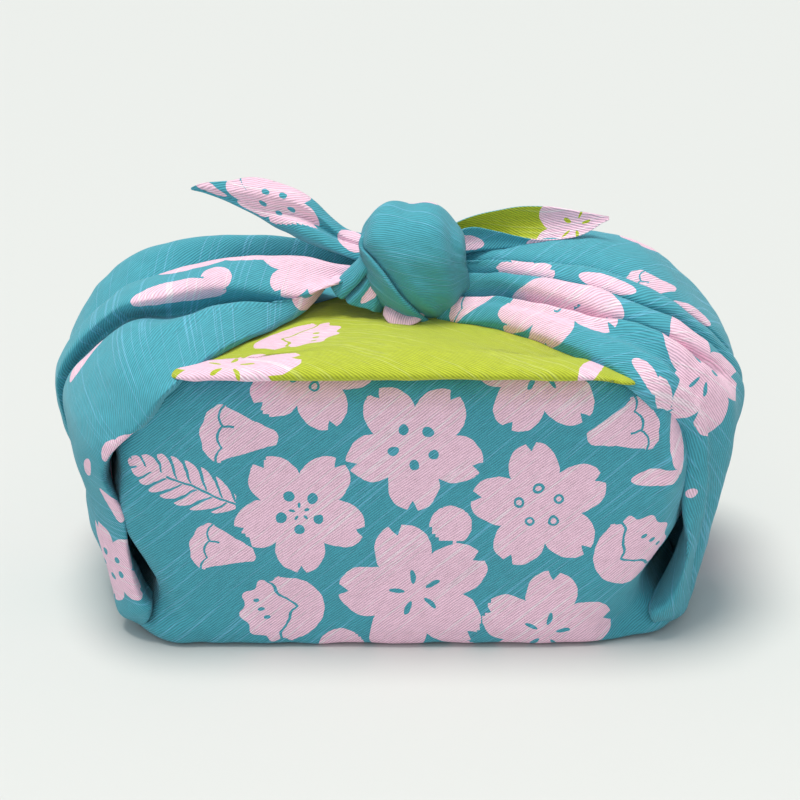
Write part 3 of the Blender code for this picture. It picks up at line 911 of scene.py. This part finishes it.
def motif_masks(shader):
    """Where the print is inked, and where line work is left bare in it."""
    across, up = shader.uv("print")
    kind = (across / KIND_STEP + 0.5).math("FLOOR")
    wobble_x = shader.noise(across, up, WOBBLE_WAVES) - 0.5
    wobble_y = shader.noise(up, across + 7.3, WOBBLE_WAVES) - 0.5
    x = across - kind * KIND_STEP + wobble_x * WOBBLE
    y = up + wobble_y * WOBBLE
    flower = (kind > DOTTED - 0.5) * (kind < PLAIN + 0.5)
    bud_shape, bud_lines = bud(x, y)
    open_shape, open_lines = open_bud(x, y)
    leaf_shape, leaf_gaps = leaf(x, y)
    inked = (
        flower * blossom(x, y)
        | is_kind(kind, BUD) * bud_shape
        | is_kind(kind, OPEN_BUD) * open_shape
        | is_kind(kind, LEAF) * leaf_shape
        | is_kind(kind, SPOT) * (radius_of(x, y) < 1.0)
        | is_kind(kind, STREAK) * inside_ellipse(x, y, 0.0, 1.0, 0.34)
    )
    bare = (
        flower * stamens(kind, x, y)
        | is_kind(kind, BUD) * bud_lines
        | is_kind(kind, OPEN_BUD) * open_lines
        | is_kind(kind, LEAF) * leaf_gaps
    )
    return inked * (1.0 - bare)


def cotton(name, ground, ground_slub):
    """Ribbed cotton with slubs, printed with pink motifs on a ground colour, with painted shade in the
    grooves between its ribs.
    """
    cloth = bpy.context.scene.furoshiki_cloth
    shader = Shader(name)
    along, across = shader.uv("ribs")
    drift = shader.noise(along, across, DRIFT_WAVES)
    rib_place = across / cloth.rib_pitch + drift * DRIFT
    rib = (rib_place * (2 * math.pi)).math("SINE") * 0.5 + 0.5
    fibre = shader.noise(along * FIBRE_WAVES[0], across * FIBRE_WAVES[1], scale=1.0, detail=3.0)
    thread, beside = shader.uv("slubs")
    streak = shader.noise(thread * SLUB_WAVES[0], beside * SLUB_WAVES[1], scale=1.0, detail=1.0)
    slub = shader.ramp(streak, *SLUB_RANGE)

    ink = motif_masks(shader)
    plain = shader.mix(ink, (*ground, 1.0), (*cloth.pink, 1.0))
    slub_colour = shader.mix(ink, (*ground_slub, 1.0), (*cloth.pink_slub, 1.0))
    coloured = shader.mix(slub * cloth.slub_strength, plain, slub_colour)
    # painted shade in the grooves and painted highlight on the ribs, plus the threads' own uneven tone
    rib_shade = rib * cloth.rib_contrast + cloth.groove_shade
    shade = rib_shade + (fibre - 0.5) * cloth.fibre_contrast
    # the ground and print colours multiplied by that painted rib shade and the fibre tone
    colour_with_painted_shade = shader.node(
        "ShaderNodeMix",
        {"data_type": "RGBA", "blend_type": "MULTIPLY"},
        {0: 1.0, 6: coloured, 7: shader.node("ShaderNodeCombineColor", {}, [shade, shade, shade])},
        2,
    )
    relief = rib * 0.7 + fibre * 0.5 + slub * 0.5
    bump = shader.node(
        "ShaderNodeBump", {}, {"Strength": 0.9, "Distance": cloth.rib_height, "Height": relief}
    )
    shader.finish({
        "Base Color": colour_with_painted_shade,
        "Roughness": 0.85 - slub * 0.1,
        "Normal": bump,
        "Specular IOR Level": 0.45,
        "Sheen Weight": 0.15,
        "Sheen Roughness": 0.5,
    })
    return shader.material


def cloth_material(name):
    """The outside or the inside of the cotton, made once."""
    cloth = bpy.context.scene.furoshiki_cloth
    if name not in bpy.data.materials:
        if name == FACE_CLOTH:
            cotton(name, cloth.teal, cloth.teal_slub)
        else:
            cotton(name, cloth.lime, cloth.lime_slub)
    return bpy.data.materials[name]


def blend(rows, places, at):
    """Points at the places in at, on a smooth curve through rows of numbers."""
    rows = np.asarray(rows, float)
    places = np.asarray(places, float)
    before = np.maximum(np.arange(len(places)) - 1, 0)
    after = np.minimum(np.arange(len(places)) + 1, len(places) - 1)
    slopes = (rows[after] - rows[before]) / (places[after] - places[before])[:, None]
    low = np.clip(np.searchsorted(places, at, side="right") - 1, 0, len(places) - 2)
    span = (places[low + 1] - places[low])[:, None]
    t = (np.asarray(at) - places[low])[:, None] / span
    h00 = 2 * t**3 - 3 * t**2 + 1
    h10 = t**3 - 2 * t**2 + t
    h01 = 3 * t**2 - 2 * t**3
    h11 = t**3 - t**2
    return h00 * rows[low] + h10 * span * slopes[low] + h01 * rows[low + 1] + h11 * span * slopes[low + 1]


def run_lengths(points):
    """Distance along a chain of points, from its first point."""
    steps = np.linalg.norm(np.diff(np.asarray(points, float), axis=0), axis=1)
    return np.concatenate([[0.0], np.cumsum(np.maximum(steps, LEAST_STEP))])


def grid_pitch():
    return bpy.context.scene.furoshiki_cloth.pitch / MM * 1.0


def stepped(places, pitch):
    """Places from the first to the last, a whole number of steps in each gap."""
    stops = []
    for low, high in zip(places, places[1:]):
        count = max(2, int(math.ceil((high - low) / pitch)))
        stops += list(np.linspace(low, high, count, endpoint=False))
    return np.array(stops + [places[-1]])


def flat_coordinates(points, anchor):
    """Flat coordinates of a grid: along its anchor column, and across from it."""
    along = run_lengths(points[:, anchor])
    steps = np.linalg.norm(np.diff(points, axis=1), axis=2)
    across = np.concatenate([np.zeros((len(points), 1)), np.cumsum(steps, axis=1)], axis=1)
    across -= across[:, anchor][:, None]
    return np.stack([np.broadcast_to(along[:, None], across.shape), across], axis=2)


def unrolled(points, flat, columns):
    """Flat coordinates close to a folded sheet's own lengths and angles, for its threads."""
    rows = np.unique(np.linspace(0, len(points) - 1, THREAD_ROWS).astype(int))
    columns = np.unique(np.concatenate([columns, (columns[1:] + columns[:-1]) // 2]))
    grid = points[np.ix_(rows, columns)].reshape(-1, 3)
    start = flat[np.ix_(rows, columns)].reshape(-1, 2) @ np.array([1.0, 1j])
    number = np.arange(len(grid)).reshape(len(rows), len(columns))
    here, below = number[:-1, :-1].ravel(), number[1:, :-1].ravel()
    beside, across = number[:-1, 1:].ravel(), number[1:, 1:].ravel()
    # every triangle of the coarse grid, with its own flat shape as complex numbers
    corner = np.concatenate([here, across])
    first, second = np.concatenate([below, beside]), np.concatenate([beside, below])
    down, over = grid[first] - grid[corner], grid[second] - grid[corner]
    length = np.maximum(np.linalg.norm(down, axis=1), 1e-6)
    along = (down * over).sum(axis=1) / length
    away = np.sqrt(np.maximum((over ** 2).sum(axis=1) - along ** 2, 0.0))
    rest = np.concatenate([length + 0j, along + 1j * away])
    tail, head = np.tile(corner, 2), np.concatenate([first, second])
    # each triangle is turned to fit its neighbours, then the gaps between them are shared out
    pull = THREAD_HOLD * np.eye(len(grid))
    for one, other in ((head, tail), (tail, head)):
        np.add.at(pull, (one, one), 1.0)
        np.add.at(pull, (one, other), -1.0)
    share_out = np.linalg.inv(pull)
    place = start
    for _ in range(THREAD_ROUNDS):
        turn = (np.conj(rest) * (place[head] - place[tail])).reshape(2, -1).sum(axis=0)
        turned = np.tile(turn / np.maximum(np.abs(turn), 1e-9), 2) * rest
        load = THREAD_HOLD * start
        np.add.at(load, head, turned)
        np.add.at(load, tail, -turned)
        place = share_out @ load
    fine = np.stack([place.real, place.imag], axis=1).reshape(len(rows), -1)
    fine = blend(fine, rows, np.arange(len(points))).reshape(len(points), len(columns), 2)
    fine = fine.transpose(1, 0, 2).reshape(len(columns), -1)
    fine = blend(fine, columns, np.arange(points.shape[1]))
    return fine.reshape(points.shape[1], len(points), 2).transpose(1, 0, 2)


def grid_normals(points):
    """Unit normals of a grid, from its rows towards its columns."""
    down = np.gradient(points, axis=0)
    over = np.gradient(points, axis=1)
    normals = np.cross(down, over)
    return normals / np.maximum(np.linalg.norm(normals, axis=2, keepdims=True), 1e-9)


def rippled(points, flat, seed, height):
    """A grid with small soft wrinkles, from a few crossed waves."""
    random = np.random.default_rng(seed)
    rise = np.zeros(flat.shape[:2])
    for length in WRINKLE_LENGTHS:
        for _ in range(WAVES_PER_LENGTH):
            angle = random.uniform(0, math.pi)
            phase = random.uniform(0, 2 * math.pi)
            swing = random.uniform(0, 2 * math.pi)
            along = flat[..., 0] * math.cos(angle) + flat[..., 1] * math.sin(angle)
            beside = flat[..., 1] * math.cos(angle) - flat[..., 0] * math.sin(angle)
            bent = along + WRINKLE_WANDER * np.sin(beside / length + swing)
            rise += length / WRINKLE_LENGTHS[0] * np.sin(2 * math.pi * bent / length + phase)
    return points + grid_normals(points) * (rise * height / WAVES_PER_LENGTH)[..., None]


def turning(degrees):
    """A matrix that gives row vectors in a frame turned by an angle."""
    cos, sin = math.cos(math.radians(degrees)), math.sin(math.radians(degrees))
    return np.array([[cos, -sin], [sin, cos]])


def motif_coordinates(centres, corners, layout):
    """Each face corner's place in the nearest motif, with the motif's number in u."""
    best = np.full(len(centres), MOTIF_CLAIM)
    result = np.zeros(corners.shape)
    for kind, x, y, radius, turn in layout:
        long_reach, side_reach = MOTIF_REACH.get(kind, (1.0, 1.0))
        to_motif = turning(turn) / radius
        local = (centres - (x, y)) @ to_motif
        reach = np.hypot(local[:, 0] / long_reach, local[:, 1] / side_reach)
        nearer = reach < best
        best[nearer] = reach[nearer]
        placed = (corners[nearer] - (x, y)) @ to_motif
        placed[..., 0] += KIND_STEP * kind
        result[nearer] = placed
    return result


def sheet_object(name, points, flat, layout, flip=False, closed=False, reverse=False, threads=None):
    """A thin sheet of cotton through a grid of points in millimetres, hung on the root body.

    The threads follow the flat coordinates, or other ones when these are given. Only a sheet
    whose reverse can be seen has the lime side on its second face.
    """
    cloth = bpy.context.scene.furoshiki_cloth
    _, _, _, grain, seed = SHEETS[name]
    sign = -1.0 if flip else 1.0
    points = rippled(points, flat, seed, sign * cloth.ripple / MM)
    rows, columns = points.shape[:2]
    used = columns - 1 if closed else columns
    corner = np.arange(rows)[:, None] * used + (np.arange(columns) % used)[None, :]
    row, column = np.meshgrid(np.arange(rows - 1), np.arange(columns - 1), indexing="ij")
    row, column = row.ravel(), column.ravel()
    quad_rows = np.stack([row, row + 1, row + 1, row], axis=1)
    quad_columns = np.stack([column, column, column + 1, column + 1], axis=1)
    if flip:
        quad_rows, quad_columns = quad_rows[:, ::-1], quad_columns[:, ::-1]
    mesh = bpy.data.meshes.new(name)
    vertices = points[:, :used].reshape(-1, 3) * MM
    mesh.from_pydata(vertices.tolist(), [], corner[quad_rows, quad_columns].tolist())
    corners = flat[quad_rows, quad_columns]
    motif = motif_coordinates(corners.mean(axis=1), corners, layout)
    thread_corners = corners if threads is None else threads[quad_rows, quad_columns]
    maps = {"print": motif}
    for uv_name, degrees in zip(("ribs", "slubs"), grain):
        maps[uv_name] = thread_corners @ turning(degrees) * MM
    for uv_name, values in maps.items():
        layer = mesh.uv_layers.new(name=uv_name)
        layer.data.foreach_set("uv", values.reshape(-1).astype(np.float32))
    mesh.shade_smooth()
    mesh.materials.append(cloth_material(FACE_CLOTH))
    if reverse:
        mesh.materials.append(cloth_material(BACK_CLOTH))
    piece = bpy.data.objects.new(name, mesh)
    bpy.context.scene.collection.objects.link(piece)
    thicken = piece.modifiers.new("cotton", "SOLIDIFY")
    thicken.thickness = cloth.thickness
    thicken.offset = -1.0
    thicken.material_offset = int(reverse)
    thicken.use_even_offset = False
    dress(piece)


def dress(piece):
    """Hangs a sheet of the wrap on the root body and hides the imported part that it replaces."""
    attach(piece, "root")
    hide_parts(NODE)


def body_ring(section, share, pitch):
    """A level ring from the middle of the back round the left side, front and right side."""
    height, left, right, half_depth, radius = section
    half_width, half_depth, radius = 0.5 * (left + right) * share, half_depth * share, radius * share
    straight_x, straight_y = half_width - radius, half_depth - radius
    across, deep, turn = (max(3, round(run / pitch)) for run in RING_RUNS)
    ring = [(-straight_x * i / across, half_depth) for i in range(across)]
    corners = ((-1, 1, 90), (-1, -1, 180), (1, -1, 270), (1, 1, 0))
    runs = (
        lambda t: (-half_width, straight_y - 2 * straight_y * t),
        lambda t: (-straight_x + 2 * straight_x * t, -half_depth),
        lambda t: (half_width, -straight_y + 2 * straight_y * t),
        lambda t: (straight_x - straight_x * t, half_depth),
    )
    counts = (2 * deep, 2 * across, 2 * deep, across)
    for (side_x, side_y, start), run, count in zip(corners, runs, counts):
        for step in range(turn):
            angle = math.radians(start + 90 * step / turn)
            ring.append((
                side_x * straight_x + radius * math.cos(angle),
                side_y * straight_y + radius * math.sin(angle),
            ))
        ring += [run(i / count) for i in range(count)]
    ring.append(ring[0])
    placed = []
    for x, y in ring:
        reach = (left if x < 0 else right) * share / half_width
        bulge = SIDE_BULGE * (1.0 - (y / half_depth) ** 2) * abs(x / half_width) ** SIDE_BULGE_POWER
        placed.append((x * (reach + bulge), y, height))
    return placed


def pressed(points, strokes):
    """Soft troughs along the front, each deepest at its stroke and fading on both sides."""
    points = points.copy()
    x, height = points[..., 0], points[..., 2]
    front = np.clip(-points[..., 1] / RELIEF_REACH, 0.0, 1.0) ** RELIEF_POWER
    for x0, z0, x1, z1, half_width, depth in strokes:
        run, climb = x1 - x0, z1 - z0
        length = math.hypot(run, climb)
        along = ((x - x0) * run + (height - z0) * climb) / length ** 2
        beside = ((x - x0) * climb - (height - z0) * run) / length
        beyond = np.maximum(np.maximum(-along, along - 1.0), 0.0) * length
        points[..., 1] += front * depth * np.exp(-(beside ** 2 + beyond ** 2) / half_width ** 2)
    return points


def wrap_body():
    """The cloth round the box, closed underneath and over the top."""
    pitch = grid_pitch()
    profile = np.array(BODY_SECTIONS)
    places = run_lengths(profile[:, :2])
    sections = blend(profile, places, stepped(places, pitch * BODY_FACE_HEIGHT))
    base, top = profile[0], profile[-1] - (TOP_DROP, 0, 0, 0, 0)
    below = [body_ring(base, share, pitch) for share in BASE_SHARES]
    around = [body_ring(section, 1.0, pitch) for section in sections]
    above = [body_ring(top, share, pitch) for share in TOP_SHARES]
    points = pressed(np.array(below + around + above), FRONT_RELIEF)
    front = points.shape[1] // 2
    flat = flat_coordinates(points, front)
    flat[..., 0] -= flat[len(below), front, 0]
    level = flat[len(below) + len(around) // 2, :, 1]
    behind = np.clip((points[..., 1] - BACK_START) / BACK_DEPTH, 0.0, 1.0)
    flat[..., 1] += (level - flat[..., 1]) * behind
    sheet_object("wrap_body", points, flat[..., ::-1], FRONT_PRINT, flip=True, closed=True)


def guided_grid(lines, places, pitch):
    """A fine grid over guide lines that share their stations, with each line's column."""
    stops = stepped(places, pitch)
    fine = np.array([blend(line, places, stops) for line in lines]).transpose(1, 0, 2)
    gaps = np.linalg.norm(np.diff(fine, axis=1), axis=2).max(axis=0)
    counts = [max(3, int(math.ceil(gap / pitch))) for gap in gaps]
    rows = []
    for section in fine:
        across = run_lengths(section)
        at = [np.linspace(a, b, n, endpoint=False) for a, b, n in zip(across, across[1:], counts)]
        rows.append(blend(section, across, np.concatenate([*at, across[-1:]])))
    columns = np.concatenate([[0], np.cumsum(counts)])
    return stops, np.array(rows), columns


def turned_flap():
    """The corner that lies over the top, turned back on itself in a soft roll at the front."""
    places = [row[0] for row in FLAP_SECTIONS]
    under_back, under_height = FLAP_UNDER_FRONT
    side_start, side_width = FLAP_SIDES
    thin_start, thin_width, thin_share = FLAP_THINNING
    half_width, narrowing, roundness = FLAP_OUTLINE
    sections = []
    for x, front, edge in FLAP_SECTIONS:
        outer = min(1.0, max(0.0, (abs(x) - side_start) / side_width))
        apex = 1.0 - narrowing * abs(x / half_width) ** roundness
        thin = 1.0 - thin_share * min(1.0, max(0.0, (abs(x) - thin_start) / thin_width))
        profile = [(x, front + back, height) for back, height in FLAP_UNDER]
        profile += [
            (x, front + under_back, min(under_height, edge - ROLL_DROP)),
            (x, front + ROLL_OUT, edge - ROLL_DEPTH * thin),
            (x, front - ROLL_OUT, edge),
        ]
        rolled_edge = len(profile) - 1
        for back, middle_rise, side_rise in FLAP_RETURN:
            share = apex if back > FLAP_OUTLINE_START else 1.0
            rise = (middle_rise + (side_rise - middle_rise) * outer) * thin
            profile.append((x, front + back * share, edge + rise))
        sections.append(profile)
    lines = np.array(sections).transpose(1, 0, 2)
    _, points, columns = guided_grid(lines, places, grid_pitch())
    points = points.transpose(1, 0, 2)
    middle = points.shape[1] // 2
    flat = flat_coordinates(points, middle)
    flat[..., 0] -= flat[columns[rolled_edge], middle, 0]
    sheet_object("turned_flap", points, flat[..., ::-1], FLAP_PRINT, reverse=True)


def gathered_side(name, folds, side, middle, layout):
    """One gathered side of the wrap, from the knot over the edge and down to the base."""
    pitch = grid_pitch()
    path = np.array([station[1:] for station in STATIONS])
    places = run_lengths(path[:, :2])
    lines = [np.array(fold, float) for fold in folds.values()]
    last = lines[-1]
    inward = lines[-2] - last
    beneath = np.stack([-inward[:, 1], inward[:, 0]], axis=1)
    beneath /= np.linalg.norm(beneath, axis=1)[:, None]
    lines += [last + inward * share + beneath * depth for share, depth in EDGE_TURNS]
    stops, grid, columns = guided_grid(lines, places, pitch)
    out, height, facing = blend(path, places, stops).T[:, :, None]
    y, rise = grid[..., 0], grid[..., 1]
    x = side * (out + rise * np.cos(np.radians(facing)))
    z = np.maximum(height + rise * np.sin(np.radians(facing)), FLOOR_GAP)
    points = np.stack([x, y, z], axis=2)
    flat = flat_coordinates(points, columns[list(folds).index(middle)])
    threads = unrolled(points, flat, columns)
    sheet_object(name, points, flat, layout, flip=side < 0, threads=threads)


def knot_band():
    """The band that wraps the knot, its left edge lapped over the cloth beneath."""
    degree = math.radians(1.0) * KNOT_RADII[0]
    lines = [np.array(fold, float) * (degree, 1.0) for fold in KNOT_FOLDS.values()]
    places = [angle * math.radians(1.0) * KNOT_RADII[2] for angle in KNOT_STATIONS]
    stops, grid, columns = guided_grid(lines, places, grid_pitch() * KNOT_FINENESS)
    polar = grid[..., 0] / KNOT_RADII[0]
    rise = grid[..., 1]
    round_angle = (stops / KNOT_RADII[2])[:, None]
    x = -np.cos(polar)
    y = -np.sin(polar) * np.cos(round_angle)
    z = np.sin(polar) * np.sin(round_angle)
    square = 1.0 + KNOT_SQUARENESS * (1.0 - z * z) * np.abs(z)
    grow = [1.0 + rise / radius for radius in KNOT_RADII]
    points = np.stack([
        KNOT_CENTRE[0] + (x * square * grow[0] - KNOT_LEAN * z) * KNOT_RADII[0],
        KNOT_CENTRE[1] + y * square * grow[1] * KNOT_RADII[1],
        KNOT_CENTRE[2] + z * grow[2] * KNOT_RADII[2],
    ], axis=2)
    flat = flat_coordinates(points, columns[list(KNOT_FOLDS).index("front")])
    sheet_object("knot_band", points, flat, KNOT_PRINT, flip=True)


def guided_sheet(name, guides, layout, fineness=0.5, reverse=False):
    """A small sheet through guide lines given as points in millimetres."""
    lines = [np.array(line, float) for line in guides.values()]
    places = run_lengths(sum(lines) / len(lines))
    _, points, columns = guided_grid(lines, places, grid_pitch() * fineness)
    flat = flat_coordinates(points, columns[len(columns) // 2])
    sheet_object(name, points, flat, layout, reverse=reverse)


def add_floor(studio):
    """The plain floor, very slightly mottled."""
    bpy.ops.mesh.primitive_plane_add(size=FLOOR_WIDTH, location=(0.0, 0.0, 0.0))
    floor = bpy.context.object
    floor.name = "floor"
    paint = Shader("floor_paint")
    wide, deep = paint.uv("UVMap")
    mottle = paint.noise(wide, deep, 40.0)
    colour = paint.mix(mottle * 0.04, (*studio.floor, 1.0), (*studio.floor_mottle, 1.0))
    paint.finish({"Base Color": colour, "Roughness": 0.8})
    floor.data.materials.append(paint.material)


def add_lights(scene, studio):
    """The light from all round, the soft light overhead and the weak lamp in front."""
    world = bpy.data.worlds.new("studio")
    world.use_nodes = True
    background = world.node_tree.nodes["Background"]
    background.inputs["Color"].default_value = (*studio.sky_colour, 1.0)
    background.inputs["Strength"].default_value = studio.sky
    scene.world = world

    lamp = bpy.data.lights.new("overhead", "SUN")
    lamp.angle = studio.softness
    lamp.energy = studio.lamp
    lamp.color = studio.lamp_colour
    holder = bpy.data.objects.new("overhead", lamp)
    holder.rotation_euler = Vector(LAMP_DIRECTION).to_track_quat("-Z", "Y").to_euler()
    scene.collection.objects.link(holder)

    fill = bpy.data.lights.new("front", "AREA")
    fill.shape = "DISK"
    fill.size = FRONT_LAMP_WIDTH
    fill.energy = studio.front_lamp
    stand = bpy.data.objects.new("front", fill)
    stand.location = FRONT_LAMP_PLACE
    aim = Vector(FRONT_LAMP_AIM) - stand.location
    stand.rotation_euler = aim.to_track_quat("-Z", "Y").to_euler()
    scene.collection.objects.link(stand)


def add_camera(scene, studio):
    """The camera in front of the wrap, looking down at it."""
    lens = bpy.data.cameras.new("camera")
    lens.lens = studio.lens
    lens.sensor_width = SENSOR_WIDTH
    camera = bpy.data.objects.new("camera", lens)
    out, up = math.cos(studio.elevation), math.sin(studio.elevation)
    camera.location = (0.0, -studio.distance * out, studio.aim + studio.distance * up)
    camera.rotation_euler = (math.pi / 2 - studio.elevation, 0.0, 0.0)
    scene.collection.objects.link(camera)
    scene.camera = camera


class BuildBody(bpy.types.Operator):
    """Build the cloth round the box"""

    bl_idname = "furoshiki.build_body"
    bl_label = "Cloth round the box"

    def execute(self, context):
        wrap_body()
        return {"FINISHED"}


class BuildFlap(bpy.types.Operator):
    """Build the corner turned back on top"""

    bl_idname = "furoshiki.build_flap"
    bl_label = "Turned-back corner"

    def execute(self, context):
        turned_flap()
        return {"FINISHED"}


class BuildSides(bpy.types.Operator):
    """Build the two gathered sides"""

    bl_idname = "furoshiki.build_sides"
    bl_label = "Gathered sides"

    def execute(self, context):
        gathered_side("left_side", LEFT_FOLDS, -1, "front ridge", LEFT_PRINT)
        gathered_side("right_side", RIGHT_FOLDS, 1, "middle flank", RIGHT_PRINT)
        return {"FINISHED"}


class BuildKnot(bpy.types.Operator):
    """Build the knot and the two free ends"""

    bl_idname = "furoshiki.build_knot"
    bl_label = "Knot and free ends"

    def execute(self, context):
        knot_band()
        guided_sheet("left_strand", LEFT_STRAND, STRAND_PRINT)
        guided_sheet("front_strand", FRONT_STRAND, TIP_PRINT)
        guided_sheet("left_end", LEFT_END, LEFT_END_PRINT)
        guided_sheet("right_end", RIGHT_END, RIGHT_END_PRINT, reverse=True)
        return {"FINISHED"}


class BuildStudio(bpy.types.Operator):
    """Build the floor, the lights and the camera"""

    bl_idname = "furoshiki.build_studio"
    bl_label = "Studio"

    def execute(self, context):
        scene = context.scene
        scene.view_settings.view_transform = "Standard"
        add_floor(scene.furoshiki_studio)
        add_lights(scene, scene.furoshiki_studio)
        add_camera(scene, scene.furoshiki_studio)
        return {"FINISHED"}


class FuroshikiPanel(bpy.types.Panel):
    """The wrap's settings and steps in the sidebar"""

    bl_idname = "VIEW3D_PT_furoshiki"
    bl_label = "Furoshiki wrap"
    bl_space_type = "VIEW_3D"
    bl_region_type = "UI"
    bl_category = "Furoshiki"

    def draw(self, context):
        layout = self.layout
        for settings in (context.scene.furoshiki_cloth, context.scene.furoshiki_studio):
            box = layout.box()
            for name in settings.__annotations__:
                box.prop(settings, name)
        for step in STEPS:
            layout.operator(step.bl_idname)


STEPS = (BuildStudio, BuildBody, BuildFlap, BuildSides, BuildKnot)
GROUPS = (FuroshikiCloth, FuroshikiStudio)


def register():
    for cls in (*GROUPS, *STEPS, FuroshikiPanel):
        bpy.utils.register_class(cls)
    bpy.types.Scene.furoshiki_cloth = bpy.props.PointerProperty(type=FuroshikiCloth)
    bpy.types.Scene.furoshiki_studio = bpy.props.PointerProperty(type=FuroshikiStudio)


def unregister():
    del bpy.types.Scene.furoshiki_studio
    del bpy.types.Scene.furoshiki_cloth
    for cls in reversed((*GROUPS, *STEPS, FuroshikiPanel)):
        bpy.utils.unregister_class(cls)


def main():
    """Builds every piece in order."""
    register()
    for step in STEPS:
        group, name = step.bl_idname.split(".")
        getattr(getattr(bpy.ops, group), name)()


if __name__ == "__main__":
    main()
